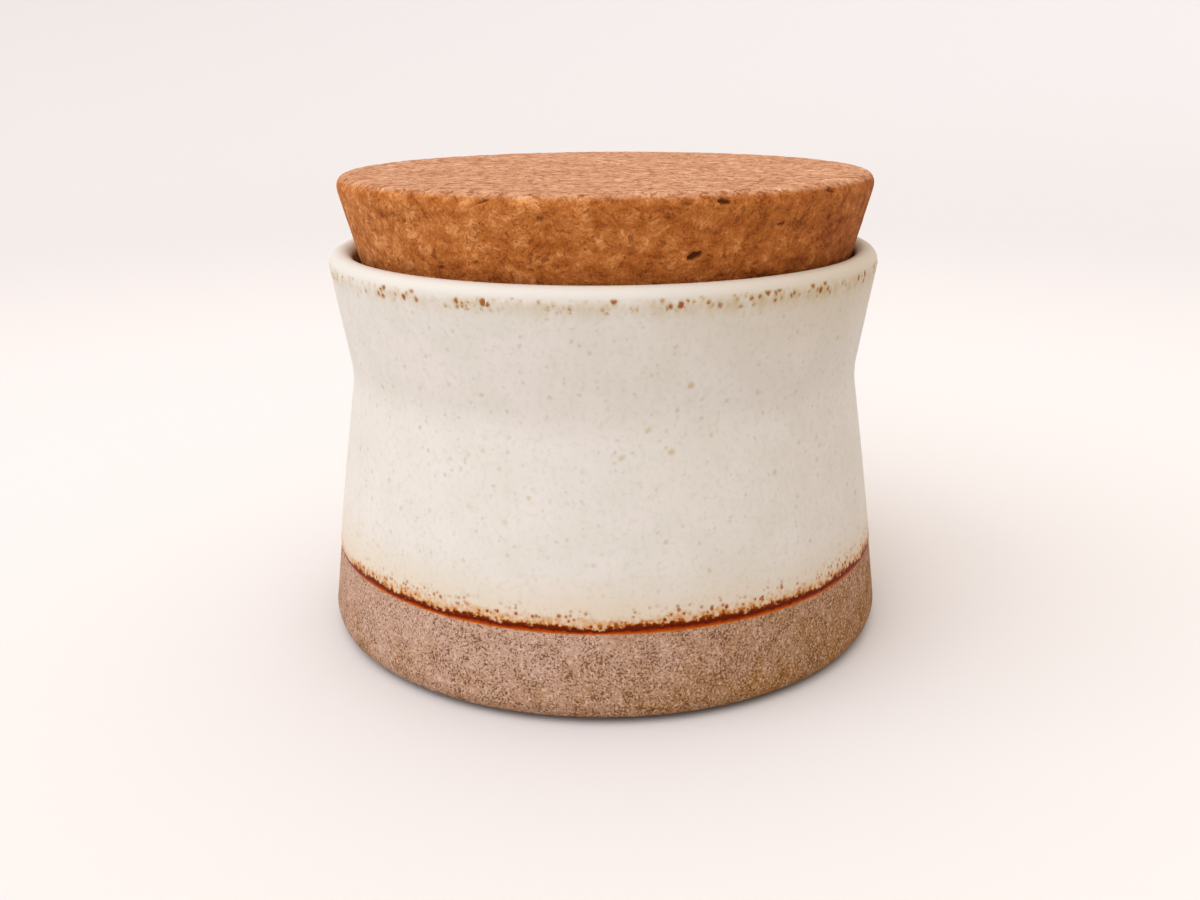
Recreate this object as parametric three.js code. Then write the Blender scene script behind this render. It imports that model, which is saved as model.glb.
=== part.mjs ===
// Stoneware canister with a tapered cork lid: a thrown jar with a wide bare foot, a soft waist
// and a flared, rounded lip, closed by a cork that stands in its mouth.
// Millimetres, +Z up. The origin is the centre of the jar's underside.

import * as THREE from 'three';

// Jar: outside
const JAR_HEIGHT = 67.3;
const FOOT_RADIUS = 50.4;
const FOOT_EDGE_HEIGHT = 3.6;
const FOOT_EDGE_INSET = 1.3;
const LOWER_WALL_BULGE = 0.3;
const WAIST_HEIGHT = 46.1;
const WAIST_CORNER_RADIUS = 44.4;
const WAIST_SOFTENING = 2.6;
const RIM_RADIUS = 47.4;

// Jar: wall, lip and inside
const WALL_THICKNESS = 4;
const LIP_RADIUS = WALL_THICKNESS / 2;
const FLOOR_THICKNESS = 5;
const INSIDE_CORNER = 7;

// Cork: a tapered disc that goes into the mouth, the taper measured from upright on each side
const CORK_TOP_RADIUS = 46.4;
const CORK_THICKNESS = 22;
const CORK_PROUD = 12.6;
const CORK_TAPER = THREE.MathUtils.degToRad(14.8);
const CORK_TOP_EDGE = 2.2;
const CORK_BOTTOM_EDGE = 1.2;
const CORK_OFFSET_X = 0.4;

// Fineness of the faceted surfaces
const AROUND = 96;
const STEPS_ON_CURVE = 4;
const STEPS_ON_LIP = 8;

const glazedStoneware = new THREE.MeshStandardMaterial({
  color: new THREE.Color().setRGB(0.88, 0.85, 0.8, THREE.SRGBColorSpace),
  roughness: 0.45,
  metalness: 0,
});

const cork = new THREE.MeshStandardMaterial({
  color: new THREE.Color().setRGB(0.76, 0.5, 0.32, THREE.SRGBColorSpace),
  roughness: 0.9,
  metalness: 0,
});

// Point on the straight line from a to b, a given distance away from a.
function along(a, b, distance) {
  return a.clone().add(b.clone().sub(a).setLength(distance));
}

// Adds a line to a path, up to a corner that a quadratic curve rounds off.
function roundedCorner(path, corner, next, size) {
  const start = along(corner, path.currentPoint, size);
  const end = along(corner, next, size);
  path.lineTo(start.x, start.y);
  path.quadraticCurveTo(corner.x, corner.y, end.x, end.y);
}

// Turns a half outline, given as (radius, height), about the vertical axis into a closed body.
function turned(path) {
  const geometry = new THREE.LatheGeometry(path.getPoints(STEPS_ON_CURVE), AROUND);
  geometry.rotateX(Math.PI / 2);
  return geometry;
}

function jarGeometry() {
  const footTop = new THREE.Vector2(FOOT_RADIUS, FOOT_EDGE_HEIGHT);
  const waist = new THREE.Vector2(WAIST_CORNER_RADIUS, WAIST_HEIGHT);
  const lip = new THREE.Vector2(RIM_RADIUS - LIP_RADIUS, JAR_HEIGHT - LIP_RADIUS);
  const flare = Math.atan2(lip.x + LIP_RADIUS - waist.x, lip.y - waist.y);
  const lean = Math.atan2(footTop.x - waist.x, waist.y - footTop.y);

  // The inside follows the outside at one wall's thickness.
  const levelWall = WALL_THICKNESS / Math.cos((flare + lean) / 2);
  const insideWaist = new THREE.Vector2(waist.x - levelWall, waist.y);
  const insideFoot = new THREE.Vector2(
    insideWaist.x + (waist.y - FLOOR_THICKNESS) * Math.tan(lean),
    FLOOR_THICKNESS,
  );
  const axisTop = new THREE.Vector2(0, FLOOR_THICKNESS);

  const path = new THREE.Path();
  path.moveTo(0, 0);
  path.lineTo(FOOT_RADIUS - FOOT_EDGE_INSET, 0);
  path.absellipse(
    FOOT_RADIUS - FOOT_EDGE_INSET, FOOT_EDGE_HEIGHT,
    FOOT_EDGE_INSET, FOOT_EDGE_HEIGHT,
    -Math.PI / 2, 0, false, 0,
  );

  const belowWaist = along(waist, footTop, WAIST_SOFTENING);
  const middle = footTop.clone().lerp(belowWaist, 0.5);
  path.quadraticCurveTo(middle.x + LOWER_WALL_BULGE, middle.y, belowWaist.x, belowWaist.y);
  const lipStart = new THREE.Vector2(
    lip.x + LIP_RADIUS * Math.cos(flare),
    lip.y - LIP_RADIUS * Math.sin(flare),
  );
  const aboveWaist = along(waist, lipStart, WAIST_SOFTENING);
  path.quadraticCurveTo(waist.x, waist.y, aboveWaist.x, aboveWaist.y);
  path.lineTo(lipStart.x, lipStart.y);

  // The lip is a full half round, from the outside of the flare to its inside.
  for (let step = 1; step <= STEPS_ON_LIP; step += 1) {
    const angle = -flare + (Math.PI * step) / STEPS_ON_LIP;
    path.lineTo(lip.x + LIP_RADIUS * Math.cos(angle), lip.y + LIP_RADIUS * Math.sin(angle));
  }

  roundedCorner(path, insideWaist, insideFoot, WAIST_SOFTENING);
  roundedCorner(path, insideFoot, axisTop, INSIDE_CORNER);
  path.lineTo(axisTop.x, axisTop.y);
  return turned(path);
}

function corkGeometry() {
  const bottomRadius = CORK_TOP_RADIUS - CORK_THICKNESS * Math.tan(CORK_TAPER);
  const bottomCorner = new THREE.Vector2(bottomRadius, 0);
  const topCorner = new THREE.Vector2(CORK_TOP_RADIUS, CORK_THICKNESS);
  const axisTop = new THREE.Vector2(0, CORK_THICKNESS);

  const path = new THREE.Path();
  path.moveTo(0, 0);
  roundedCorner(path, bottomCorner, topCorner, CORK_BOTTOM_EDGE);
  roundedCorner(path, topCorner, axisTop, CORK_TOP_EDGE);
  path.lineTo(axisTop.x, axisTop.y);
  return turned(path);
}

function piece(name, geometry, material) {
  const mesh = new THREE.Mesh(geometry, material);
  mesh.name = name;
  return mesh;
}

const canister = new THREE.Group();

const jar = piece('jar', jarGeometry(), glazedStoneware);
canister.add(jar);

// The cork hangs on its taper in the lip, a little to one side, as a hand leaves it.
const corkLid = piece('cork_lid', corkGeometry(), cork);
corkLid.position.set(CORK_OFFSET_X, 0, JAR_HEIGHT + CORK_PROUD - CORK_THICKNESS);
canister.add(corkLid);

export default canister;
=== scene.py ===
import math

import bpy
import numpy as np
from mathutils import Matrix, Vector


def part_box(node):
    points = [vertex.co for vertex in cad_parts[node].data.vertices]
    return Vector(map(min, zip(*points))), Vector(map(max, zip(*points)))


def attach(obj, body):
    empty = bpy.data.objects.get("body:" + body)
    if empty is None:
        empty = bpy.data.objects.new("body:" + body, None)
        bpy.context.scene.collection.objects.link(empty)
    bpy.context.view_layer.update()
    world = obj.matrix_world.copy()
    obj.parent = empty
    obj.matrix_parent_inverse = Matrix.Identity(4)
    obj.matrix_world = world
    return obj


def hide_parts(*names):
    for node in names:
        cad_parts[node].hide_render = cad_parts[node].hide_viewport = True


# A thrown stoneware canister with a satin cream glaze, a rust line and a bare speckled foot,
# closed by a tapered lid of pressed cork. Lengths are in metres, except where a comment says
# millimetres.

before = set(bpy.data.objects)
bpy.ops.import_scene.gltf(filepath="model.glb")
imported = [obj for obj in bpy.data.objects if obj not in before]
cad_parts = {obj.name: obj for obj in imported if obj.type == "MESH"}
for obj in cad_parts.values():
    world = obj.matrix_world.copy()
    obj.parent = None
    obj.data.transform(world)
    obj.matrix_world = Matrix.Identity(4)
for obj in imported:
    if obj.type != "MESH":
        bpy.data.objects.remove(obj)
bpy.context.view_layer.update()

MM = 0.001

# Places taken from the frame
JAR_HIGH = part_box("jar")[1]
CORK_LOW, CORK_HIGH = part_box("cork_lid")
FOOT_RADIUS = JAR_HIGH.x
JAR_HEIGHT = JAR_HIGH.z
CORK_CENTRE_X = (CORK_LOW.x + CORK_HIGH.x) / 2
CORK_TOP = CORK_HIGH.z
CORK_BOTTOM = CORK_LOW.z

# Jar: outside, wall and inside
FOOT_EDGE_HEIGHT = 3.6 * MM
FOOT_EDGE_INSET = 1.3 * MM
FOOT_BEVEL_RISE = 0.9 * MM
FOOT_BEVEL_DEPTH = 8.0 * MM
LOWER_WALL_BULGE = 0.3 * MM
WAIST_HEIGHT = 46.1 * MM
WAIST_CORNER_RADIUS = 44.4 * MM
WAIST_SOFTENING = 2.6 * MM
RIM_RADIUS = 47.4 * MM
WALL_THICKNESS = 4.0 * MM
LIP_RADIUS = WALL_THICKNESS / 2
FLOOR_THICKNESS = 5.0 * MM
INSIDE_CORNER = 7.0 * MM

# Jar: glaze and throwing
GLAZE_LINE = 14.8 * MM
GLAZE_LIFT = 0.18 * MM
GLAZE_LIFT_RISE = 0.5 * MM
LINE_WAVER = 0.25 * MM
THROWING_WAVER = 0.12 * MM

# Cork
CORK_TAPER = math.radians(14.8)
CORK_TOP_RADIUS = 46.4 * MM
CORK_TOP_EDGE = 3.0 * MM
CORK_BOTTOM_EDGE = 1.2 * MM
CORK_RELIEF = 0.06 * MM
CORK_RAGGED_EDGE = 0.22 * MM

# Fineness of the meshes
JAR_FACETS = 420
JAR_UNDERSIDE_SPACING = 6 * MM
JAR_BEVEL_SPACING = 1 * MM
JAR_FOOT_EDGE_STEPS = 14
JAR_WALL_SPACING = 0.55 * MM
JAR_LIP_STEPS = 22
JAR_INSIDE_SPACING = 2.5 * MM
JAR_FLOOR_SPACING = 7.5 * MM
CORK_FACETS = 700
CORK_BOTTOM_SPACING = 5 * MM
CORK_BOTTOM_EDGE_SPACING = 0.5 * MM
CORK_SIDE_SPACING = 0.36 * MM
CORK_TOP_EDGE_SPACING = 0.25 * MM
CORK_TOP_SPACING = 0.7 * MM
FEWEST_CURVE_STEPS = 4
MERGE_DISTANCE = 0.005 * MM

# Freedom is the share of the unevenness that a point of an outline takes
NO_FREEDOM = 0.0
LIP_FREEDOM = 0.4
CORK_BOTTOM_FREEDOM = 0.3
FULL_FREEDOM = 1.0

# The picture's viewpoint, found by fitting the jar's outline
CAMERA_DISTANCE = 213.4 * MM
CAMERA_HEIGHT = 96.4 * MM
CAMERA_SIDE = -0.8 * MM
CAMERA_PITCH = math.radians(17.63)
CAMERA_ROLL = math.radians(-0.41)
CAMERA_CLIP_START = 10 * MM
CAMERA_LENS_MM = 36.0
SENSOR_WIDTH_MM = 36.0

# Spots in a pattern: their sizes in shares of its radius, and a depth that is far outside them
SMALLEST_SPOT = 0.45
LARGEST_SPOT = 1.35
NO_SPOT = -99.0


def srgb(red, green, blue):
    """A colour given by its 0 to 255 screen values, as linear light with full alpha."""
    def linear(value):
        share = value / 255
        return share / 12.92 if share <= 0.04045 else ((share + 0.055) / 1.055) ** 2.4
    return (linear(red), linear(green), linear(blue), 1.0)


class Nodes:
    """Short ways to add nodes to one tree and to join them."""

    def __init__(self, tree):
        self.tree = tree

    def put(self, socket, value):
        if isinstance(value, bpy.types.NodeSocket):
            self.tree.links.new(value, socket)
        else:
            socket.default_value = value

    def add(self, kind, inputs=None, **settings):
        node = self.tree.nodes.new(kind)
        for name, value in settings.items():
            setattr(node, name, value)
        for name, value in (inputs or {}).items():
            self.put(node.inputs[name], value)
        return node

    def math(self, operation, *values, clamp=False):
        node = self.add("ShaderNodeMath", operation=operation, use_clamp=clamp)
        for socket, value in zip(node.inputs, values):
            self.put(socket, value)
        return node.outputs[0]

    def vector(self, operation, *values):
        node = self.add("ShaderNodeVectorMath", operation=operation)
        for socket, value in zip(node.inputs, values):
            self.put(socket, value)
        return node.outputs["Vector"]

    def scaled(self, vector, factor):
        node = self.add("ShaderNodeVectorMath", {0: vector, "Scale": factor}, operation="SCALE")
        return node.outputs["Vector"]

    def dot(self, a, b):
        node = self.add("ShaderNodeVectorMath", {0: a, 1: b}, operation="DOT_PRODUCT")
        return node.outputs["Value"]

    def length(self, vector):
        return self.add("ShaderNodeVectorMath", {0: vector}, operation="LENGTH").outputs["Value"]

    def combine(self, x, y, z):
        return self.add("ShaderNodeCombineXYZ", {"X": x, "Y": y, "Z": z}).outputs[0]

    def separate(self, vector):
        return self.add("ShaderNodeSeparateXYZ", {0: vector}).outputs

    def step(self, value, low, high):
        """0 below low, 1 above high and smooth between them. It falls if low is above high."""
        node = self.add("ShaderNodeMapRange", interpolation_type="SMOOTHSTEP")
        if low < high:
            limits = {"From Min": low, "From Max": high, "To Min": 0.0, "To Max": 1.0}
        else:
            limits = {"From Min": high, "From Max": low, "To Min": 1.0, "To Max": 0.0}
        for name, limit in {"Value": value, **limits}.items():
            self.put(node.inputs[name], limit)
        return node.outputs["Result"]

    def between(self, share, start, end):
        """Goes from start to end as a share goes from 0 to 1."""
        return self.math("MULTIPLY_ADD", share, end - start, start)

    def all_of(self, *shares):
        """The product of several shares."""
        total = shares[0]
        for share in shares[1:]:
            total = self.math("MULTIPLY", total, share)
        return total

    def around(self, value, weight, base=0.0):
        """Adds how far a noise value is from its middle, times a weight, to a base."""
        return self.math("ADD", self.math("MULTIPLY", self.math("SUBTRACT", value, 0.5), weight), base)

    def centred(self, colour):
        """A colour's values, moved from 0 to 1 to run from -0.5 to 0.5."""
        return self.vector("SUBTRACT", colour, (0.5, 0.5, 0.5))

    def noise(self, place, size, detail=2.0, roughness=0.5):
        """Cloudy noise from 0 to 1, with lumps of about the given size in place's own unit."""
        inputs = {"Vector": place, "Scale": 1 / size, "Detail": detail, "Roughness": roughness}
        return self.add("ShaderNodeTexNoise", inputs).outputs[0]

    def fraying(self, place, size, reach):
        """An uneven shift, of at most half of reach along each axis."""
        noise = self.add("ShaderNodeTexNoise", {"Vector": place, "Scale": 1 / size, "Detail": 2.0})
        return self.scaled(self.centred(noise.outputs["Color"]), reach)

    def frayed(self, place, size, reach):
        return self.vector("ADD", place, self.fraying(place, size, reach))

    def cells(self, place, size):
        return self.add("ShaderNodeTexVoronoi", {"Vector": place, "Scale": 1 / size}).outputs

    def spot_depth(self, place, spacing, radius, share):
        """Depth inside spots of uneven size, in shares of the radius. It is below 0 outside them.
        A random share of the cells has a spot."""
        found = self.cells(place, spacing)
        random = self.separate(found["Color"])
        reach = self.between(random[1], SMALLEST_SPOT, LARGEST_SPOT)
        depth = self.math("MULTIPLY_ADD", found["Distance"], -spacing / radius, reach)
        empty = self.math("GREATER_THAN", random[0], share)
        return self.math("MULTIPLY_ADD", empty, NO_SPOT, depth)

    def spots(self, place, spacing, radius, share, softness=0.5):
        """Spots of uneven size, 1 in the middle and 0 outside, in a random share of the cells."""
        return self.step(self.spot_depth(place, spacing, radius, share), 0.0, softness)

    def mix(self, factor, a, b):
        node = self.add("ShaderNodeMix", {"Factor": factor, 6: a, 7: b}, data_type="RGBA")
        return node.outputs[2]

    def tinted(self, base, colour, *shares):
        """Mixes a colour into a base, by the product of the shares."""
        return self.mix(self.all_of(*shares), base, colour)

    def ramp(self, factor, stops):
        node = self.add("ShaderNodeValToRGB", {"Fac": factor})
        elements = node.color_ramp.elements
        while len(elements) < len(stops):
            elements.new(0.5)
        for element, (place, colour) in zip(elements, stops):
            element.position = place
            element.color = colour
        return node.outputs["Color"]


# Outlines, as points of (radius, height), each with its freedom

def line_points(start, end, spacing):
    steps = max(1, round((Vector(end) - Vector(start)).length / spacing))
    return [Vector(start).lerp(Vector(end), step / steps) for step in range(1, steps + 1)]


def curve_points(start, middle, end, spacing):
    """Points on the quadratic curve that rounds the corner at the middle."""
    start, middle, end = Vector(start), Vector(middle), Vector(end)
    steps = max(FEWEST_CURVE_STEPS, round((end - start).length / spacing))
    shares = [step / steps for step in range(1, steps + 1)]
    return [start.lerp(middle, t).lerp(middle.lerp(end, t), t) for t in shares]


def arc_points(centre, radii, first, last, steps):
    angles = np.linspace(first, last, steps + 1)[1:]
    return [Vector((centre[0] + radii[0] * math.cos(a), centre[1] + radii[1] * math.sin(a))) for a in angles]


def towards(start, end, distance):
    direction = Vector(end) - Vector(start)
    return Vector(start) + direction.normalized() * distance


def with_freedom(points, freedom):
    return [(point, freedom) for point in points]


def jar_outline():
    foot_top = Vector((FOOT_RADIUS, FOOT_EDGE_HEIGHT))
    waist = Vector((WAIST_CORNER_RADIUS, WAIST_HEIGHT))
    lip = Vector((RIM_RADIUS - LIP_RADIUS, JAR_HEIGHT - LIP_RADIUS))
    flare = math.atan2(lip.x + LIP_RADIUS - waist.x, lip.y - waist.y)
    lean = math.atan2(foot_top.x - waist.x, waist.y - foot_top.y)
    level_wall = WALL_THICKNESS / math.cos((flare + lean) / 2)
    inside_waist = Vector((waist.x - level_wall, waist.y))
    inside_foot = Vector((inside_waist.x + (waist.y - FLOOR_THICKNESS) * math.tan(lean), FLOOR_THICKNESS))
    inside_centre = Vector((0, FLOOR_THICKNESS))

    below_waist = towards(waist, foot_top, WAIST_SOFTENING)
    middle = foot_top.lerp(below_waist, 0.5) + Vector((LOWER_WALL_BULGE, 0))
    lip_start = lip + LIP_RADIUS * Vector((math.cos(flare), -math.sin(flare)))
    above_waist = towards(waist, lip_start, WAIST_SOFTENING)
    lip_end = lip - LIP_RADIUS * Vector((math.cos(flare), -math.sin(flare)))
    above_inside = towards(inside_waist, lip_end, WAIST_SOFTENING)
    below_inside = towards(inside_waist, inside_foot, WAIST_SOFTENING)
    corner_start = towards(inside_foot, inside_waist, INSIDE_CORNER)
    corner_end = towards(inside_foot, inside_centre, INSIDE_CORNER)

    foot_centre = (FOOT_RADIUS - FOOT_EDGE_INSET, FOOT_EDGE_HEIGHT)
    foot_curve = (FOOT_EDGE_INSET, FOOT_EDGE_HEIGHT - FOOT_BEVEL_RISE)
    bevel_start = (foot_centre[0] - FOOT_BEVEL_DEPTH, 0)
    base = [Vector((0, 0))]
    base += line_points((0, 0), bevel_start, JAR_UNDERSIDE_SPACING)
    base += line_points(bevel_start, (foot_centre[0], FOOT_BEVEL_RISE), JAR_BEVEL_SPACING)
    base += arc_points(foot_centre, foot_curve, -math.pi / 2, 0, JAR_FOOT_EDGE_STEPS)
    wall = curve_points(foot_top, middle, below_waist, JAR_WALL_SPACING)
    wall += curve_points(below_waist, waist, above_waist, JAR_WALL_SPACING)
    wall += line_points(above_waist, lip_start, JAR_WALL_SPACING)
    rim = arc_points(lip, (LIP_RADIUS, LIP_RADIUS), -flare, math.pi - flare, JAR_LIP_STEPS)
    inside = line_points(lip_end, above_inside, JAR_INSIDE_SPACING)
    inside += curve_points(above_inside, inside_waist, below_inside, JAR_INSIDE_SPACING)
    inside += line_points(below_inside, corner_start, JAR_INSIDE_SPACING)
    inside += curve_points(corner_start, inside_foot, corner_end, JAR_INSIDE_SPACING)
    inside += line_points(corner_end, inside_centre, JAR_FLOOR_SPACING)
    points = with_freedom(base, NO_FREEDOM) + with_freedom(wall, FULL_FREEDOM)
    return points + with_freedom(rim, LIP_FREEDOM) + with_freedom(inside, NO_FREEDOM)


def cork_outline():
    narrowing = (CORK_TOP - CORK_BOTTOM) * math.tan(CORK_TAPER)
    bottom_centre = Vector((0, CORK_BOTTOM))
    bottom_corner = Vector((CORK_TOP_RADIUS - narrowing, CORK_BOTTOM))
    top_corner = Vector((CORK_TOP_RADIUS, CORK_TOP))
    top_centre = Vector((0, CORK_TOP))
    bottom_start = towards(bottom_corner, bottom_centre, CORK_BOTTOM_EDGE)
    bottom_end = towards(bottom_corner, top_corner, CORK_BOTTOM_EDGE)
    top_start = towards(top_corner, bottom_corner, CORK_TOP_EDGE)
    top_end = towards(top_corner, top_centre, CORK_TOP_EDGE)
    hidden = [bottom_centre]
    hidden += line_points(bottom_centre, bottom_start, CORK_BOTTOM_SPACING)
    hidden += curve_points(bottom_start, bottom_corner, bottom_end, CORK_BOTTOM_EDGE_SPACING)
    shown = line_points(bottom_end, top_start, CORK_SIDE_SPACING)
    shown += curve_points(top_start, top_corner, top_end, CORK_TOP_EDGE_SPACING)
    shown += line_points(top_end, top_centre, CORK_TOP_SPACING)
    return with_freedom(hidden, CORK_BOTTOM_FREEDOM) + with_freedom(shown, FULL_FREEDOM)


def outline_object(name, points):
    """A chain of edges in the XZ plane, with the freedom of each point as an attribute."""
    mesh = bpy.data.meshes.new(name)
    places = [(p.x, 0.0, p.y) for p, _ in points]
    mesh.from_pydata(places, [(i, i + 1) for i in range(len(places) - 1)], [])
    freedom = mesh.attributes.new("freedom", "FLOAT", "POINT")
    freedom.data.foreach_set("value", [share for _, share in points])
    made = bpy.data.objects.new(name, mesh)
    bpy.context.scene.collection.objects.link(made)
    return made


# Geometry trees that turn an outline into a surface

def new_tree(name, inputs):
    """An empty geometry tree with named inputs, and the nodes that start it."""
    tree = bpy.data.node_groups.new(name, "GeometryNodeTree")
    tree.is_modifier = True
    tree.interface.new_socket("Geometry", in_out="INPUT", socket_type="NodeSocketGeometry")
    for socket_name, kind in inputs.items():
        tree.interface.new_socket(socket_name, in_out="INPUT", socket_type=kind)
    tree.interface.new_socket("Geometry", in_out="OUTPUT", socket_type="NodeSocketGeometry")
    n = Nodes(tree)
    return n, n.add("NodeGroupInput").outputs


def stored(n, geometry, name, value):
    return n.add(
        "GeometryNodeStoreNamedAttribute",
        {"Geometry": geometry, "Name": name, "Value": value},
        data_type="FLOAT", domain="POINT",
    ).outputs["Geometry"]


def named(n, name):
    return n.add("GeometryNodeInputNamedAttribute", {"Name": name}, data_type="FLOAT").outputs["Attribute"]


def turned(n, outline, facets):
    """Turns an outline about the Z axis. Each point keeps its reach, height and turn."""
    position = n.separate(n.add("GeometryNodeInputPosition").outputs[0])
    outline = stored(n, outline, "reach", position[0])
    outline = stored(n, outline, "height", position[2])
    outline = n.add("GeometryNodeMeshToCurve", {"Mesh": outline}).outputs["Curve"]
    circle = n.add("GeometryNodeCurvePrimitiveCircle", {"Resolution": facets, "Radius": 1.0}, mode="RADIUS")
    share = n.add("GeometryNodeSplineParameter").outputs["Factor"]
    circle = stored(n, circle.outputs["Curve"], "turn", n.math("MULTIPLY", share, 2 * math.pi))
    surface = n.add("GeometryNodeCurveToMesh", {"Curve": circle, "Profile Curve": outline}).outputs["Mesh"]
    return n.add("GeometryNodeFlipFaces", {"Mesh": surface}).outputs["Mesh"]


def placed(n, geometry, reach, height, centre_x=0.0):
    """Moves each point to its reach, turn and height."""
    turn = named(n, "turn")
    x = n.math("MULTIPLY_ADD", reach, n.math("COSINE", turn), centre_x)
    y = n.math("MULTIPLY", reach, n.math("SINE", turn))
    inputs = {"Geometry": geometry, "Position": n.combine(x, y, height)}
    return n.add("GeometryNodeSetPosition", inputs).outputs["Geometry"]


def closed(n, geometry, material):
    """Joins the poles, smooths the shading and ends the tree."""
    for kind, inputs in (
        ("GeometryNodeMergeByDistance", {"Distance": MERGE_DISTANCE}),
        ("GeometryNodeSetShadeSmooth", {}),
        ("GeometryNodeRealizeInstances", {}),
        ("GeometryNodeSetMaterial", {"Material": material}),
    ):
        geometry = n.add(kind, {"Geometry": geometry, **inputs}).outputs[0]
    n.add("NodeGroupOutput", {"Geometry": geometry})


def grown(carrier, tree, values):
    """Runs a tree on an object and keeps its result as a plain mesh."""
    modifier = carrier.modifiers.new("growth", "NODES")
    modifier.node_group = tree
    for socket in tree.interface.items_tree:
        if socket.in_out == "INPUT" and socket.name in values:
            modifier[socket.identifier] = values[socket.name]
    graph = bpy.context.evaluated_depsgraph_get()
    result = carrier.evaluated_get(graph)
    mesh = bpy.data.meshes.new_from_object(result, preserve_all_data_layers=True, depsgraph=graph)
    carrier.modifiers.remove(modifier)
    outline = carrier.data
    carrier.data = mesh
    bpy.data.meshes.remove(outline)


def in_millimetres(n, vector):
    return n.scaled(vector, 1 / MM)


# The jar's unevenness is noise on a ring of radius 1 around the axis. The noise of the throwing is
# on a smaller ring and moves by 1 for each THROWING_HEIGHT up the jar, so its bands are long and low.
LINE_NOISE = dict(size=0.45, detail=3.0)
LINE_NOISE_START = (0.0, 0.0, 4.3)
THROWING_NOISE = dict(size=0.9)
THROWING_RING = 0.5
THROWING_HEIGHT = 14 * MM


def jar_tree():
    n, given = new_tree("Thrown jar", {
        "Facets": "NodeSocketInt",
        "Line height": "NodeSocketFloat",
        "Line waver": "NodeSocketFloat",
        "Glaze lift": "NodeSocketFloat",
        "Throwing waver": "NodeSocketFloat",
        "Finish": "NodeSocketMaterial",
    })
    jar = turned(n, given["Geometry"], given["Facets"])
    turn, reach, height, freedom = (named(n, name) for name in ("turn", "reach", "height", "freedom"))
    ring = n.combine(n.math("COSINE", turn), n.math("SINE", turn), 0.0)
    waver = n.noise(n.vector("ADD", ring, LINE_NOISE_START), **LINE_NOISE)
    rise = n.math("SUBTRACT", height, given["Line height"])
    rise = n.math("SUBTRACT", rise, n.around(waver, given["Line waver"]))
    lift = n.math("MULTIPLY", n.step(rise, 0.0, GLAZE_LIFT_RISE), given["Glaze lift"])

    bands = n.combine(0.0, 0.0, n.math("MULTIPLY", height, 1 / THROWING_HEIGHT))
    throwing = n.noise(n.vector("ADD", n.scaled(ring, THROWING_RING), bands), **THROWING_NOISE)
    push = n.around(throwing, given["Throwing waver"], lift)
    reach = n.math("MULTIPLY_ADD", push, freedom, reach)
    jar = stored(n, jar, "rise", rise)
    jar = placed(n, jar, reach, height)
    closed(n, jar, given["Finish"])
    return n.tree


# The grain of pressed cork, with sizes in millimetres
GRANULE_SIZE = 2.4
GRANULE_FRAYING = dict(size=2.2, reach=1.8)
STREAK_NOISE = dict(size=0.5, detail=2.0, roughness=0.6)
STREAK_STRETCH = 0.78
CREVICE_NOISE = dict(size=0.9, detail=3.0, roughness=0.7)
MOTTLE_NOISE = dict(size=1.7, detail=3.0, roughness=0.55)
MOTTLE_FLATTENING = (0.75, 0.75, 1.25)
PATCH_NOISE = dict(size=5.5)


def cork_grain(n, place):
    """The grain of pressed cork at a place in millimetres. Each granule has its own tone, and
    streaks that lie its own way."""
    bent = n.frayed(place, **GRANULE_FRAYING)
    granule = n.cells(bent, GRANULE_SIZE)
    lie = n.vector("NORMALIZE", n.centred(granule["Color"]))
    drawn = n.scaled(lie, n.math("MULTIPLY", n.dot(place, lie), STREAK_STRETCH))
    return {
        "tone": n.separate(granule["Color"])[0],
        "streak": n.noise(n.vector("SUBTRACT", place, drawn), **STREAK_NOISE),
        "crevice": n.noise(n.vector("SUBTRACT", bent, drawn), **CREVICE_NOISE),
        "mottle": n.noise(n.vector("MULTIPLY", bent, MOTTLE_FLATTENING), **MOTTLE_NOISE),
        "patch": n.noise(place, **PATCH_NOISE),
    }


def weighed(n, grain, weights, base=0.0):
    """Adds to a base how far each part of the grain is from its middle, times its weight."""
    for part, weight in weights.items():
        base = n.around(grain[part], weight, base)
    return base


# Pits in the cork's side, in millimetres where not in degrees: turn from +X in degrees, place below
# the top, length, height, depth, and tilt in degrees.
SIDE_PITS = [
    (-73.4, 9.0, 1.7, 0.75, 1.0, 24),
    (-68.9, 1.3, 1.5, 0.6, 0.8, -14),
    (-75.6, 1.4, 1.3, 0.5, 0.4, 8),
    (-67.1, 9.4, 1.6, 0.3, 0.35, -50),
    (-55.4, 5.2, 1.3, 0.4, 0.5, 6),
    (-42.3, 1.1, 1.9, 0.32, 0.5, -10),
    (-101.7, 3.4, 1.1, 0.65, 0.4, -8),
    (-108.2, 3.1, 0.7, 0.55, 0.3, -30),
    (-112.8, 1.2, 1.8, 0.4, 0.5, 22),
    (-134.8, 4.1, 0.9, 0.5, 0.4, -20),
    (-131.6, 4.9, 0.7, 0.5, 0.4, 10),
    (-124.5, 11.5, 1.0, 0.35, 0.4, 5),
    (-128.8, 10.6, 0.6, 0.45, 0.35, 0),
    (-115.9, 10.2, 0.8, 0.5, 0.35, 12),
    (35.0, 5.5, 1.7, 0.8, 0.8, 15),
    (78.0, 8.0, 1.4, 0.6, 0.7, -25),
    (121.0, 3.1, 2.0, 0.6, 0.7, 8),
    (164.0, 7.2, 1.3, 0.7, 0.6, -12),
    (-5.0, 6.6, 1.1, 0.5, 0.5, 30),
]
# A pit's reach into the cork is in millimetres, and its edge is in shares of its length and height
PIT_REACH_INWARD = 2.0
PIT_EDGE = (1.0, 0.3)
PIT_FRAYING = dict(size=0.9, reach=0.75)


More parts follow.
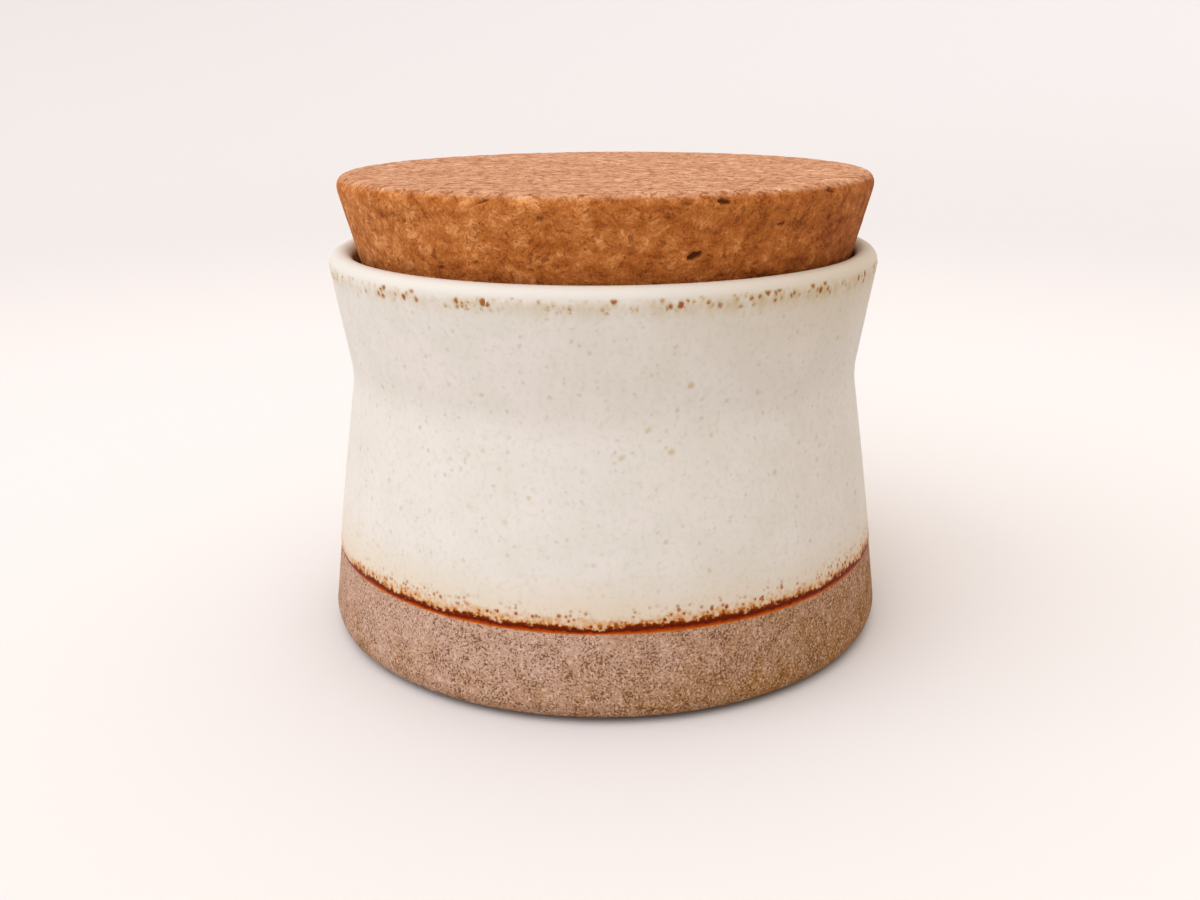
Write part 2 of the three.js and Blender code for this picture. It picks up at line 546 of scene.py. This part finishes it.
def pit_depth(n, place):
    """Depth in millimetres of the pits at a place in millimetres from the cork's axis."""
    fraying = n.fraying(place, **PIT_FRAYING)
    total = None
    for turn, below, length, tall, depth, tilt in SIDE_PITS:
        angle, lean = math.radians(turn), math.radians(tilt)
        reach = CORK_TOP_RADIUS / MM - below * math.tan(CORK_TAPER)
        out = Vector((math.cos(angle), math.sin(angle), 0))
        level = Vector((-math.sin(angle), math.cos(angle), 0))
        lengthwise = level * math.cos(lean) + Vector((0, 0, math.sin(lean)))
        crosswise = out.cross(lengthwise)
        centre = out * reach + Vector((0, 0, CORK_TOP / MM - below))
        offset = n.vector("ADD", n.vector("SUBTRACT", place, centre), fraying)
        sizes = ((lengthwise, length), (crosswise, tall), (out, PIT_REACH_INWARD))
        shape = n.combine(*(n.dot(offset, direction / size) for direction, size in sizes))
        here = n.math("MULTIPLY", n.step(n.length(shape), *PIT_EDGE), depth)
        total = here if total is None else n.math("MAXIMUM", total, here)
    return total


# The cork's rim is a little chipped, and single crumbs stand proud of it. Both fade out over two
# distances, inward from the top's radius and down from the top. Sizes of noise and crumbs are in
# millimetres.
RIM_INWARD = (3.6 * MM, 1.6 * MM)
RIM_DOWN = (3.0 * MM, 0.4 * MM)
CHIP_NOISE = dict(size=2.6, detail=3.0, roughness=0.6)
CHIP_BAND = (0.5, 0.72)
CRUMBS = dict(spacing=5.5, radius=0.8, share=0.2)
RELIEF_WEIGHTS = {"streak": 1.2, "mottle": 2.2, "tone": 0.6}


def cork_tree():
    n, given = new_tree("Pressed cork", {
        "Facets": "NodeSocketInt",
        "Centre X": "NodeSocketFloat",
        "Top": "NodeSocketFloat",
        "Relief": "NodeSocketFloat",
        "Ragged edge": "NodeSocketFloat",
        "Finish": "NodeSocketMaterial",
    })
    cork = turned(n, given["Geometry"], given["Facets"])
    reach, height = named(n, "reach"), named(n, "height")
    cork = placed(n, cork, reach, height, given["Centre X"])
    position = n.add("GeometryNodeInputPosition").outputs[0]
    place = in_millimetres(n, n.vector("SUBTRACT", position, n.combine(given["Centre X"], 0.0, 0.0)))
    grain = cork_grain(n, place)
    pits = pit_depth(n, place)

    near_rim = n.step(reach, *(CORK_TOP_RADIUS - inward for inward in RIM_INWARD))
    near_edge = n.all_of(n.step(n.math("SUBTRACT", given["Top"], height), *RIM_DOWN), near_rim)
    chips = n.all_of(n.step(n.noise(place, **CHIP_NOISE), *CHIP_BAND), near_edge, given["Ragged edge"])
    crumbs = n.all_of(n.spots(place, **CRUMBS), near_edge, given["Ragged edge"])

    push = n.math("MULTIPLY", weighed(n, grain, RELIEF_WEIGHTS), given["Relief"])
    push = n.math("SUBTRACT", push, n.math("MULTIPLY", pits, MM))
    push = n.math("ADD", n.math("SUBTRACT", push, chips), crumbs)
    push = n.math("MULTIPLY", push, named(n, "freedom"))
    normal = n.add("GeometryNodeInputNormal").outputs[0]
    # How far the surface faces up; it picks the cork's lighter top tones, which hold painted top light and
    # sheen.
    cork = stored(n, cork, "upward", n.separate(normal)[2])
    cork = stored(n, cork, "pit", pits)
    inputs = {"Geometry": cork, "Offset": n.scaled(normal, push)}
    cork = n.add("GeometryNodeSetPosition", inputs).outputs["Geometry"]
    closed(n, cork, given["Finish"])
    return n.tree


# Materials of jar and cork. Sizes, heights and places across are in millimetres. A pair of values
# is where a mask is 0 and where it is 1.
BUMP_STRENGTH = 0.7


def new_material(name):
    material = bpy.data.materials.new(name)
    material.use_nodes = True
    material.node_tree.nodes.clear()
    n = Nodes(material.node_tree)
    surface = n.add("ShaderNodeBsdfPrincipled")
    n.add("ShaderNodeOutputMaterial", {"Surface": surface.outputs["BSDF"]})
    return material, n, surface


def attribute(n, name):
    return n.add("ShaderNodeAttribute", attribute_name=name).outputs["Fac"]


def bumped(n, surface, tall, distance):
    """Fine relief in the shading only, from a pattern of heights."""
    inputs = {"Height": tall, "Distance": distance, "Strength": BUMP_STRENGTH}
    n.put(surface.inputs["Normal"], n.add("ShaderNodeBump", inputs).outputs["Normal"])


CREAM = srgb(211, 203, 194)
CREAM_CLOUD = srgb(207, 200, 189)
CREAM_MOTTLE = srgb(189, 181, 165)
LIP_CREAM = srgb(208, 201, 191)
CLOUD_NOISE = dict(size=8.0, detail=4.0, roughness=0.6)
CLOUD_BAND = (0.35, 0.65)
GLAZE_MOTTLE_NOISE = dict(size=0.9, detail=3.0, roughness=0.65)
GLAZE_MOTTLE_BAND = (0.46, 0.72)
GLAZE_MOTTLE_STRENGTH = 0.34
LIP_HEIGHTS = (64.8, 66.2)
SPECK_FRAYING = dict(size=0.5, reach=0.6)
# Specks as (start of the pattern, spacing, radius, share of the cells, softness, strength, colour)
SPECKS = [
    ((0.0, 0.0, 0.0), 1.25, 0.42, 0.5, 1.0, 0.34, srgb(160, 152, 128)),
    ((5.0, 3.0, 8.0), 3.4, 0.62, 0.4, 1.0, 0.6, srgb(184, 158, 108)),
    ((2.0, 9.0, 4.0), 8.0, 0.42, 0.3, 0.9, 0.6, srgb(96, 56, 30)),
]


def cream_glaze(n, place, height, below_lip):
    """Cream glaze with slow clouds, a fine mottle and soft specks, and the pattern of its clouds."""
    cloud = n.noise(place, **CLOUD_NOISE)
    glaze = n.tinted(CREAM, CREAM_CLOUD, n.step(cloud, *CLOUD_BAND))
    mottle = n.step(n.noise(place, **GLAZE_MOTTLE_NOISE), *GLAZE_MOTTLE_BAND)
    glaze = n.tinted(glaze, CREAM_MOTTLE, mottle, below_lip, GLAZE_MOTTLE_STRENGTH)
    glaze = n.tinted(glaze, LIP_CREAM, n.step(height, *LIP_HEIGHTS))
    frayed = n.frayed(place, **SPECK_FRAYING)
    for start, spacing, radius, share, softness, strength, colour in SPECKS:
        specks = n.spots(n.vector("ADD", frayed, start), spacing, radius, share, softness)
        glaze = n.tinted(glaze, colour, specks, below_lip, strength)
    return glaze, cloud


# A tan for the lip's stain, also used for painted shade on the upper flare.
STAIN_AND_SHADE_TAN = srgb(186, 162, 118)
STAIN_AMBER = srgb(146, 80, 26)
STAIN_NOISE = dict(size=1.8, detail=3.0, roughness=0.6)
STAIN_DRAWN = (1.0, 1.0, 0.35)
STAIN_BAND = (0.3, 0.7)
STAIN_LOWER_EDGE = (61.8, 64.4)
STAIN_UPPER_EDGE = (65.8, 64.9)
STAIN_RIGHTWARD = (-10.0, 25.0)
STAIN_LEFT_STRENGTH = 0.35
STAIN_RIGHT_STRENGTH = 0.65
# Painted shade: tan that darkens the upper flare towards the right, where it faces down and away from the
# window.
FLARE_SHADE_HEIGHTS = (52.0, 66.0)
FLARE_SHADE_RIGHTWARD = (0.0, 42.0)
FLARE_SHADE_STRENGTH = 0.36
LIP_SPOTS = dict(spacing=1.05, radius=0.42, share=0.8)
LIP_SPOT_FRAYING = dict(size=0.6, reach=0.5)
LIP_SPOT_SQUASH = (1.0, 1.0, 0.8)
LIP_SPOT_LOWER_EDGE = (63.2, 64.2)
LIP_SPOT_UPPER_EDGE = (65.9, 65.3)
LIP_CLUSTER_NOISE = dict(size=6.0)
LIP_CLUSTER_BAND = (0.32, 0.5)
LIP_HALO_BAND = (-0.9, 0.3)
LIP_HALO_STRENGTH = 0.6
LIP_SPOT_BAND = (-0.1, 0.6)
LIP_SPOT_STRENGTH = 0.9


def lip_stain_and_flare_shade(n, place, height, glaze):
    """Amber spots and a tan stain where the glaze breaks under the lip, and painted shade in the same tan on
    the upper flare towards the right.
    """
    across = n.separate(place)[0]
    broken = n.step(n.noise(n.vector("MULTIPLY", place, STAIN_DRAWN), **STAIN_NOISE), *STAIN_BAND)
    band = n.all_of(n.step(height, *STAIN_LOWER_EDGE), n.step(height, *STAIN_UPPER_EDGE))
    rightward = n.between(n.step(across, *STAIN_RIGHTWARD), STAIN_LEFT_STRENGTH, STAIN_RIGHT_STRENGTH)
    glaze = n.tinted(glaze, STAIN_AND_SHADE_TAN, band, broken, rightward)
    # Painted shade in tan on the upper flare, growing towards the right.
    flare = n.all_of(n.step(height, *FLARE_SHADE_HEIGHTS), n.step(across, *FLARE_SHADE_RIGHTWARD))
    glaze = n.tinted(glaze, STAIN_AND_SHADE_TAN, flare, FLARE_SHADE_STRENGTH)
    frayed = n.vector("MULTIPLY", n.frayed(place, **LIP_SPOT_FRAYING), LIP_SPOT_SQUASH)
    depth = n.spot_depth(frayed, **LIP_SPOTS)
    spot_band = n.all_of(n.step(height, *LIP_SPOT_LOWER_EDGE), n.step(height, *LIP_SPOT_UPPER_EDGE))
    clustered = n.step(n.noise(place, **LIP_CLUSTER_NOISE), *LIP_CLUSTER_BAND)
    here = n.all_of(spot_band, clustered)
    glaze = n.tinted(glaze, STAIN_AND_SHADE_TAN, n.step(depth, *LIP_HALO_BAND), here, LIP_HALO_STRENGTH)
    return n.tinted(glaze, STAIN_AMBER, n.step(depth, *LIP_SPOT_BAND), here, LIP_SPOT_STRENGTH)


CREAM_WARM = srgb(204, 184, 156)
RUST_HALO = srgb(192, 134, 70)
RUST_DOT = srgb(134, 56, 2)
RUST_TONES = [
    (0.0, srgb(198, 106, 20)),
    (0.2, srgb(160, 68, 0)),
    (0.45, srgb(94, 22, 0)),
    (0.75, srgb(106, 38, 0)),
    (1.0, srgb(156, 88, 22)),
]
# The band's height, and how far the slow and the lumpy noise move its top
RUST_HEIGHT = 1.5
RUST_SLOW_SWING = 1.6
RUST_LUMP_SWING = 2.8
RUST_SLOW_NOISE = dict(size=9.0, detail=1.0)
RUST_LUMP_NOISE = dict(size=0.85, detail=3.0, roughness=0.6)
RUST_TOP_EDGE = (0.3, -0.3)
RUST_THIN_SIDE = (-47.5, -38.0)
RUST_THIN_SHARE = 0.3
WARM_RISE = (11.0, 0.3)
WARM_SWING = 3.0
WARM_STRENGTH = 0.6
RUST_HALO_RISE = (1.7, -0.2)
RUST_HALO_LUMPS = (0.36, 0.62)
RUST_HALO_LEAST = 0.45
RUST_HALO_MOST = 0.95
RUST_DOTS = dict(spacing=0.75, radius=0.32, share=0.75)
RUST_DOTS_START = (2.0, 6.0, 4.0)
RUST_DOT_RISE = (3.8, 0.3)
RUST_CLUSTER_NOISE = dict(size=2.4)
RUST_CLUSTER_BAND = (0.38, 0.54)
DOT_HALO_BAND = (-1.1, 0.4)
DOT_HALO_STRENGTH = 0.5
DOT_BAND = (-0.1, 0.6)


def rust_line(n, place, rise, glaze):
    """Rust where the glaze ends: an orange lower edge, a dark band with a lumpy top, and dots
    with soft halos above it. It is thin on the left side."""
    across = n.separate(place)[0]
    strong = n.between(n.step(across, *RUST_THIN_SIDE), RUST_THIN_SHARE, 1.0)
    lumps = n.noise(place, **RUST_LUMP_NOISE)
    slow = n.noise(place, **RUST_SLOW_NOISE)
    top = n.around(lumps, RUST_LUMP_SWING, n.around(slow, RUST_SLOW_SWING, RUST_HEIGHT))
    top = n.math("MULTIPLY", top, strong)
    above = n.math("SUBTRACT", rise, top)
    warm = n.step(n.around(slow, WARM_SWING, rise), *WARM_RISE)
    glaze = n.tinted(glaze, CREAM_WARM, warm, WARM_STRENGTH)
    lumpy = n.between(n.step(lumps, *RUST_HALO_LUMPS), RUST_HALO_LEAST, RUST_HALO_MOST)
    glaze = n.tinted(glaze, RUST_HALO, n.step(above, *RUST_HALO_RISE), lumpy)
    depth = n.spot_depth(n.vector("ADD", place, RUST_DOTS_START), **RUST_DOTS)
    clustered = n.step(n.noise(place, **RUST_CLUSTER_NOISE), *RUST_CLUSTER_BAND)
    here = n.all_of(n.step(above, *RUST_DOT_RISE), clustered, strong)
    glaze = n.tinted(glaze, RUST_HALO, n.step(depth, *DOT_HALO_BAND), here, DOT_HALO_STRENGTH)
    glaze = n.tinted(glaze, RUST_DOT, n.step(depth, *DOT_BAND), here)
    rust = n.ramp(n.math("DIVIDE", rise, top), RUST_TONES)
    return n.tinted(glaze, rust, n.step(above, *RUST_TOP_EDGE))


CLAY_PINK = srgb(181, 149, 129)
CLAY_TOAST = srgb(152, 111, 64)
CLAY_LIGHT_GRAIN = srgb(212, 184, 164)
CLAY_DARK_GRAIN = srgb(98, 60, 32)
TOAST_NOISE = dict(size=5.0, detail=3.0)
TOAST_SWING = 1.4
TOAST_HEIGHTS = (12.0, 1.0)
TOAST_LOW_DOWN = 0.45
TOAST_RIGHTWARD = (-20.0, 42.0)
TOAST_AT_RIGHT = 0.6
LIGHT_GRAIN_NOISE = dict(size=0.55, detail=3.0, roughness=0.7)
LIGHT_GRAIN_START = (7.0, 2.0, 5.0)
LIGHT_GRAIN_BAND = (0.46, 0.66)
LIGHT_GRAIN_STRENGTH = 0.6
DARK_GRAIN_NOISE = dict(size=0.34, detail=3.0, roughness=0.75)
DARK_GRAIN_BAND = (0.5, 0.6)
DARK_GRAIN_STRENGTH = 0.85
GRAIN_CLUSTER_NOISE = dict(size=2.4)
GRAIN_CLUSTER_WEIGHT = 0.2


def bare_clay(n, place, height):
    """Toasted clay, pinker at the top, with light and dark grains, and the pattern of the dark
    ones."""
    across = n.separate(place)[0]
    toast = n.math("MULTIPLY", n.step(height, *TOAST_HEIGHTS), TOAST_LOW_DOWN)
    toast = n.around(n.noise(place, **TOAST_NOISE), TOAST_SWING, toast)
    rightward = n.math("MULTIPLY", n.step(across, *TOAST_RIGHTWARD), TOAST_AT_RIGHT)
    clay = n.mix(n.math("ADD", toast, rightward, clamp=True), CLAY_PINK, CLAY_TOAST)
    light = n.noise(n.vector("ADD", place, LIGHT_GRAIN_START), **LIGHT_GRAIN_NOISE)
    clay = n.tinted(clay, CLAY_LIGHT_GRAIN, n.step(light, *LIGHT_GRAIN_BAND), LIGHT_GRAIN_STRENGTH)
    grain = n.noise(place, **DARK_GRAIN_NOISE)
    dense = n.around(n.noise(place, **GRAIN_CLUSTER_NOISE), GRAIN_CLUSTER_WEIGHT, grain)
    clay = n.tinted(clay, CLAY_DARK_GRAIN, n.step(dense, *DARK_GRAIN_BAND), DARK_GRAIN_STRENGTH)
    return clay, grain


BELOW_LIP = (65.4, 64.4)
GLAZE_EDGE = (-0.05, 0.05)
CLAY_ROUGHNESS = 0.9
GLAZE_ROUGHNESS = 0.4
STONEWARE_SPECULAR = 0.1
PEEL_NOISE = dict(size=1.6)
PEEL_WEIGHT = 0.5
CLOUD_WEIGHT = 0.8
STONEWARE_BUMP = 0.08 * MM


def stoneware():
    material, n, surface = new_material("Satin glaze and bare clay")
    place = in_millimetres(n, n.add("ShaderNodeTexCoord").outputs["Object"])
    height = n.separate(place)[2]
    rise = n.math("MULTIPLY", attribute(n, "rise"), 1 / MM)
    glaze, cloud = cream_glaze(n, place, height, n.step(height, *BELOW_LIP))
    glaze = lip_stain_and_flare_shade(n, place, height, glaze)
    glaze = rust_line(n, place, rise, glaze)
    clay, grain = bare_clay(n, place, height)
    glazed = n.step(rise, *GLAZE_EDGE)
    n.put(surface.inputs["Base Color"], n.mix(glazed, clay, glaze))
    n.put(surface.inputs["Roughness"], n.between(glazed, CLAY_ROUGHNESS, GLAZE_ROUGHNESS))
    surface.inputs["Specular IOR Level"].default_value = STONEWARE_SPECULAR
    peel = n.noise(place, **PEEL_NOISE)
    glaze_relief = n.around(peel, PEEL_WEIGHT, n.math("MULTIPLY", cloud, CLOUD_WEIGHT))
    relief = n.add("ShaderNodeMix", {"Factor": glazed, 2: grain, 3: glaze_relief}, data_type="FLOAT")
    bumped(n, surface, relief.outputs[0], STONEWARE_BUMP)
    return material


CORK_SIDE_TONES = [
    (0.15, srgb(124, 64, 18)),
    (0.4, srgb(162, 95, 40)),
    (0.6, srgb(180, 113, 57)),
    (0.85, srgb(210, 149, 96)),
]
# The top's tones are lighter and paler than the side's: partly the top face's own colour, partly painted top
# light and sheen.
CORK_TOP_FACE_AND_SHEEN_TONES = [
    (0.15, srgb(154, 104, 70)),
    (0.4, srgb(182, 132, 98)),
    (0.6, srgb(192, 146, 113)),
    (0.85, srgb(214, 175, 147)),
]
CORK_TOP_FLECK = srgb(148, 90, 54)
# The pits' colour is partly darker cork, partly painted shade inside the hollows.
CORK_PIT_TONE_AND_SHADE = srgb(84, 38, 14)
# The crevices' colour is partly darker cork, partly painted shade in these recesses.
CORK_CREVICE_TONE_AND_SHADE = srgb(112, 56, 20)
FINE_NOISE = dict(size=0.32, detail=2.0, roughness=0.7)
MIDDLE_TONE = 0.5
TONE_WEIGHTS = {"streak": 0.5, "mottle": 0.9, "tone": 0.17, "patch": 0.5, "fine": 0.6}
# Painted shade: the cork's side darkens towards the right, away from the window.
SHADE_PER_MM_RIGHTWARD = -0.0025
FLECK_NOISE = dict(size=1.5, detail=3.0, roughness=0.7)
FLECK_START = (8.0, 5.0, 1.0)
FLECK_BAND = (0.51, 0.59)
FLECK_STRENGTH = 0.9
UPWARD_BAND = (0.4, 1.0)
CREVICE_BAND = (0.42, 0.35)
CREVICE_STRENGTH = 0.55
PIT_BAND = (0.04, 0.6)
PIT_STRENGTH = 0.8
CORK_ROUGHNESS = 0.85
CORK_SPECULAR = 0.25
CORK_BUMP_WEIGHTS = {"mottle": 1.0, "fine": 0.6, "streak": 0.8}
CREVICE_BUMP_WEIGHT = -0.5
CORK_BUMP = 0.2 * MM


def pressed_cork():
    material, n, surface = new_material("Pressed cork")
    here = n.add("ShaderNodeTexCoord").outputs["Object"]
    place = in_millimetres(n, n.vector("SUBTRACT", here, (CORK_CENTRE_X, 0.0, 0.0)))
    across = n.separate(place)[0]
    grain = cork_grain(n, place)
    grain["fine"] = n.noise(place, **FINE_NOISE)
    tone = weighed(n, grain, TONE_WEIGHTS, MIDDLE_TONE)
    flecks = n.noise(n.vector("ADD", place, FLECK_START), **FLECK_NOISE)
    top = n.ramp(tone, CORK_TOP_FACE_AND_SHEEN_TONES)
    top = n.tinted(top, CORK_TOP_FLECK, n.step(flecks, *FLECK_BAND), FLECK_STRENGTH)
    # The side's tone falls towards the right, as painted shade.
    side = n.ramp(n.math("MULTIPLY_ADD", across, SHADE_PER_MM_RIGHTWARD, tone), CORK_SIDE_TONES)
    # Where the cork faces up it takes the lighter top tones: partly its own colour, partly painted top light
    # and sheen.
    colour = n.mix(n.step(attribute(n, "upward"), *UPWARD_BAND), side, top)
    # Crevices between granules get darker: partly the cork's own tone, partly painted shade.
    crevice = n.step(grain["crevice"], *CREVICE_BAND)
    colour = n.tinted(colour, CORK_CREVICE_TONE_AND_SHADE, crevice, CREVICE_STRENGTH)
    # Pits get darker: partly the cork's own tone, partly painted shade.
    colour = n.tinted(colour, CORK_PIT_TONE_AND_SHADE, n.step(attribute(n, "pit"), *PIT_BAND), PIT_STRENGTH)
    n.put(surface.inputs["Base Color"], colour)
    surface.inputs["Roughness"].default_value = CORK_ROUGHNESS
    surface.inputs["Specular IOR Level"].default_value = CORK_SPECULAR
    tall = weighed(n, grain, CORK_BUMP_WEIGHTS)
    tall = n.math("MULTIPLY_ADD", crevice, CREVICE_BUMP_WEIGHT, tall)
    bumped(n, surface, tall, CORK_BUMP)
    return material


# The floor's two tones, and the distances from the middle, in metres, between which it changes. The far tone
# is darker as painted shade, standing for light falling off towards the back.
FLOOR_NEAR = srgb(210, 204, 201)
FLOOR_FAR_SHADED = srgb(199, 194, 192)
FLOOR_DISTANCES = (0.15, 0.6)
FLOOR_ROUGHNESS = 0.9
FLOOR_SPECULAR = 0.1


def floor_material():
    material, n, surface = new_material("Pale floor")
    distance = n.length(n.add("ShaderNodeTexCoord").outputs["Object"])
    # Painted shade: the floor darkens with distance from the middle.
    n.put(surface.inputs["Base Color"], n.mix(n.step(distance, *FLOOR_DISTANCES), FLOOR_NEAR, FLOOR_FAR_SHADED))
    surface.inputs["Roughness"].default_value = FLOOR_ROUGHNESS
    surface.inputs["Specular IOR Level"].default_value = FLOOR_SPECULAR
    return material


# Pieces

def finished(piece, node):
    """A piece that stands for a CAD node: it joins the root body, and the node's own part is hidden."""
    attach(piece, "root")
    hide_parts(node)


def make_jar():
    jar = outline_object("thrown_jar", jar_outline())
    grown(jar, jar_tree(), {
        "Facets": JAR_FACETS,
        "Line height": GLAZE_LINE,
        "Line waver": LINE_WAVER,
        "Glaze lift": GLAZE_LIFT,
        "Throwing waver": THROWING_WAVER,
        "Finish": stoneware(),
    })
    finished(jar, "jar")


def make_cork():
    cork = outline_object("cork_stopper", cork_outline())
    grown(cork, cork_tree(), {
        "Facets": CORK_FACETS,
        "Centre X": CORK_CENTRE_X,
        "Top": CORK_TOP,
        "Relief": CORK_RELIEF,
        "Ragged edge": CORK_RAGGED_EDGE,
        "Finish": pressed_cork(),
    })
    finished(cork, "cork_lid")


# Stage, light and camera

FLOOR_RADIUS = 1.0
FLOOR_SPACING = 0.2
FLOOR_FACETS = 96
SWEEP_RADIUS = 3.0
SWEEP_RISE = math.radians(30)
SWEEP_STEPS = 16


def make_floor():
    """A round floor whose edge sweeps up into a backdrop."""
    sweep_centre, sweep_radii = (FLOOR_RADIUS, SWEEP_RADIUS), (SWEEP_RADIUS, SWEEP_RADIUS)
    lowest = -math.pi / 2
    points = [Vector((0, 0))]
    points += line_points((0, 0), (FLOOR_RADIUS, 0), FLOOR_SPACING)
    points += arc_points(sweep_centre, sweep_radii, lowest, lowest + SWEEP_RISE, SWEEP_STEPS)
    floor = outline_object("floor", with_freedom(points, NO_FREEDOM))
    n, given = new_tree("Floor and backdrop", {"Finish": "NodeSocketMaterial"})
    disc = turned(n, given["Geometry"], FLOOR_FACETS)
    disc = placed(n, disc, named(n, "reach"), named(n, "height"))
    closed(n, disc, given["Finish"])
    grown(floor, n.tree, {"Finish": floor_material()})


# Lights as (name, turn from the viewer's side to the right, height, spread, strength, colour), with
# the first three numbers in degrees
LIGHTS = [
    ("window", -48, 38, 85, 1.7, (0.74, 0.84, 1.0)),
    ("back_window", 140, 50, 85, 0.4, (1.0, 0.96, 0.92)),
]
# The room's strength from the level down as a share of that from above, and how much weaker it is
# from the right and stronger from the left
ROOM_COLOUR = (1.0, 0.95, 0.895, 1.0)
ROOM_LOW = 0.15
ROOM_LEFTWARD = 0.25
ROOM_STRENGTH = 1.38


def make_soft_light(name, turn, height, spread, strength, colour):
    """A wide soft light from one direction, given by angles in degrees."""
    turn, height = math.radians(turn), math.radians(height)
    level = math.cos(height)
    source = Vector((level * math.sin(turn), -level * math.cos(turn), math.sin(height)))
    data = bpy.data.lights.new(name, "SUN")
    data.angle = math.radians(spread)
    data.energy = strength
    data.color = colour
    light = bpy.data.objects.new(name, data)
    light.rotation_euler = (-source).to_track_quat("-Z", "Y").to_euler()
    bpy.context.scene.collection.objects.link(light)


def make_daylight():
    """A plain pale room, brighter above and to the left, with a wide soft window at the left of
    the viewer and a weaker one behind."""
    room = bpy.data.worlds.new("Pale room")
    room.use_nodes = True
    n = Nodes(room.node_tree)
    backdrop = room.node_tree.nodes["Background"]
    backdrop.inputs["Color"].default_value = ROOM_COLOUR
    rightward, _, upward = n.separate(n.add("ShaderNodeTexCoord").outputs["Generated"])
    share = n.between(n.math("MAXIMUM", upward, 0.0), ROOM_LOW, 1.0)
    share = n.math("MULTIPLY", share, n.math("MULTIPLY_ADD", rightward, -ROOM_LEFTWARD, 1.0))
    n.put(backdrop.inputs["Strength"], n.math("MULTIPLY", share, ROOM_STRENGTH))
    bpy.context.scene.world = room
    for light in LIGHTS:
        make_soft_light(*light)
    bpy.context.scene.view_settings.view_transform = "Standard"
    bpy.context.scene.view_settings.look = "Medium High Contrast"


def make_camera():
    data = bpy.data.cameras.new("camera")
    data.lens = CAMERA_LENS_MM
    data.sensor_width = SENSOR_WIDTH_MM
    data.clip_start = CAMERA_CLIP_START
    camera = bpy.data.objects.new("camera", data)
    aim = Matrix.Rotation(math.pi / 2 - CAMERA_PITCH, 4, "X") @ Matrix.Rotation(CAMERA_ROLL, 4, "Z")
    camera.matrix_world = Matrix.Translation((CAMERA_SIDE, -CAMERA_DISTANCE, CAMERA_HEIGHT)) @ aim
    bpy.context.scene.collection.objects.link(camera)
    bpy.context.scene.camera = camera


make_camera()
make_jar()
make_cork()
make_floor()
make_daylight()
